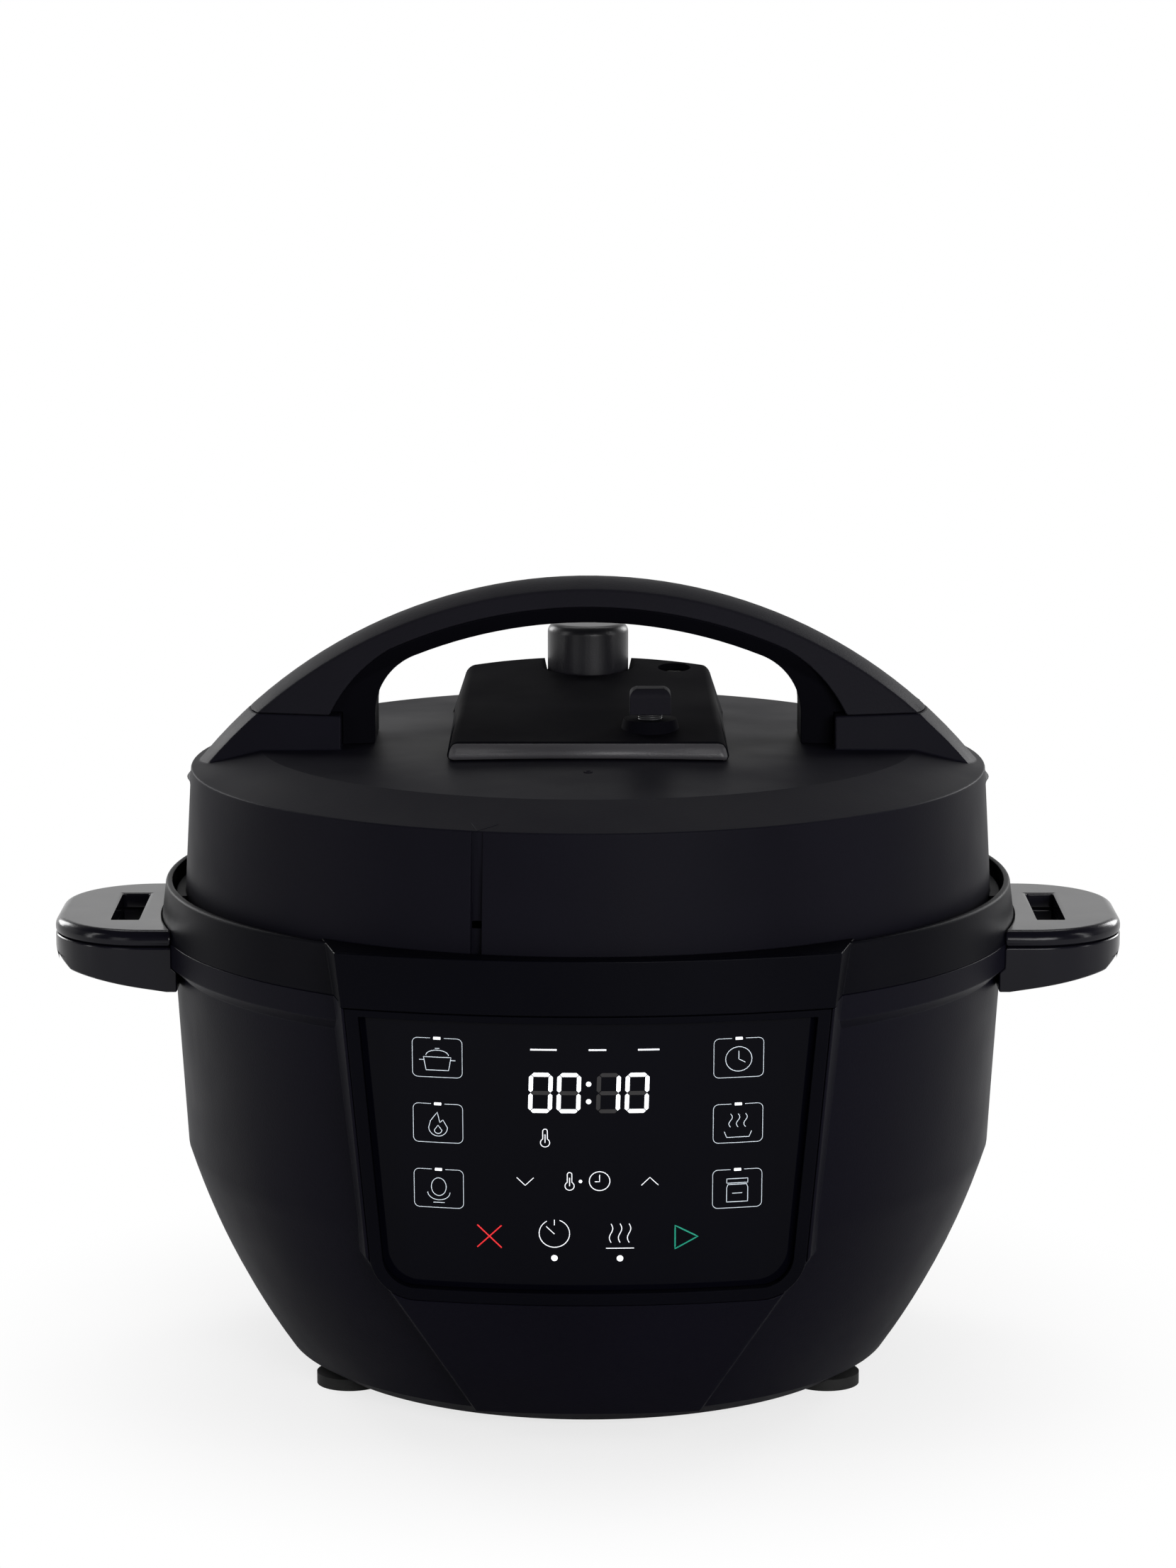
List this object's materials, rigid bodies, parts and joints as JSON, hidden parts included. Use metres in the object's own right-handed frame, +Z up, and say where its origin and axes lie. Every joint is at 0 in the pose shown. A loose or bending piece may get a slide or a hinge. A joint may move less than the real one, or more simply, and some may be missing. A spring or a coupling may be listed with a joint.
{
  "type": "electric pressure cooker",
  "caption": "Electric pressure cooker with a bowl-shaped base, tilted touch panel, side handles and a bayonet lid with an arched handle, steam valve and quick release button.",
  "frame": {"origin": "on the table under the pot's axis, at the foot of the box over all", "axes": "+X along the side handles, -Y out of the touch panel, +Z up along the pot's axis"},
  "size_m": [0.364, 0.293, 0.272],
  "materials": {
    "black_shell": "satin black moulding",
    "gloss_shell": "glossy black moulding",
    "panel_glass": "dark printed touch panel",
    "pot_steel": "brushed stainless steel",
    "plain_steel": "zinc-plated steel",
    "cast_alloy": "cast aluminium",
    "circuit_board": "green board",
    "component": "dark component",
    "foot_rubber": "matt rubber",
    "silicone": "translucent silicone",
    "pin_brass": "plated contacts"
  },
  "bodies": {
    "base": {"outer_housing": "black_shell", "upper_collar": "black_shell", "console_header": "gloss_shell", "panel_bezel": "gloss_shell", "touch_glass": "panel_glass", "control_board": "circuit_board", "display_module": "component", "board_pillars": "black_shell", "right_handle_cover": "gloss_shell", "right_handle_grip": "gloss_shell", "left_handle_cover": "gloss_shell", "left_handle_grip": "gloss_shell", "handle_screws": "plain_steel", "board_standoffs": "black_shell", "bottom_cover": "black_shell", "bottom_screws": "plain_steel", "feet": "foot_rubber", "power_board": "circuit_board", "power_relay": "component", "filter_capacitor": "component", "power_inlet": "black_shell", "inlet_pins": "pin_brass", "inner_pot": "pot_steel", "heat_shield": "plain_steel", "locking_flange": "cast_alloy", "heating_plate": "cast_alloy", "heating_element": "plain_steel", "heater_posts": "plain_steel", "sensor_spring": "plain_steel", "sensor_bracket": "plain_steel", "thermal_fuse": "plain_steel", "pressure_switch": "component"},
    "seal": {"sealing_ring": "silicone", "ring_rack": "plain_steel"},
    "lid": {"lid_cover": "black_shell", "lid_pan": "pot_steel", "lid_posts": "black_shell", "valve_deck": "black_shell", "handle_arch": "gloss_shell", "handle_underside": "black_shell", "handle_bolts": "plain_steel", "steam_pipe": "plain_steel", "pipe_nut": "plain_steel", "anti_block_shield": "plain_steel", "lever_pin": "plain_steel", "button_collar": "black_shell", "button_spring": "plain_steel"},
    "button": {"quick_release_button": "black_shell"},
    "lever": {"release_lever": "black_shell"},
    "valve": {"steam_valve": "black_shell"},
    "float": {"float_valve": "plain_steel", "float_cap": "silicone"},
    "sensor": {"thermal_sensor": "cast_alloy"}
  },
  "joints": [
    {"name": "lid_lift", "type": "slide", "parent": "base", "child": "seal", "axis": [0, 0, 1], "range_m": [0, 0.15]},
    {"name": "lid_twist", "type": "hinge", "parent": "seal", "child": "lid", "pos_m": [0, 0, 0.17], "axis": [0, 0, 1], "range_deg": [-30, 0]},
    {"name": "quick_release", "type": "slide", "parent": "lid", "child": "button", "axis": [0, 0, -1], "range_m": [0, 0.0015], "stiffness_N_per_m": 600, "deforming": ["button_spring"]},
    {"name": "lever_rock", "type": "hinge", "parent": "lid", "child": "lever", "pos_m": [0.0104, 0.0064, 0.2225], "axis": [0.9621, 0.2726, 0], "range_deg": [0, 2.4]},
    {"name": "valve_lift", "type": "slide", "parent": "lid", "child": "valve", "axis": [0, 0, 1], "range_m": [0, 0.0016]},
    {"name": "float_rise", "type": "slide", "parent": "lid", "child": "float", "axis": [0, 0, 1], "range_m": [0, 0.002]},
    {"name": "sensor_plunge", "type": "slide", "parent": "base", "child": "sensor", "axis": [0, 0, -1], "range_m": [0, 0.003], "stiffness_N_per_m": 500, "deforming": ["sensor_spring"]}
  ],
  "couplings": [
    {"joint": "lever_rock", "follows": "quick_release", "rad_per_m": 26.216},
    {"joint": "valve_lift", "follows": "quick_release", "ratio": 1}
  ]
}
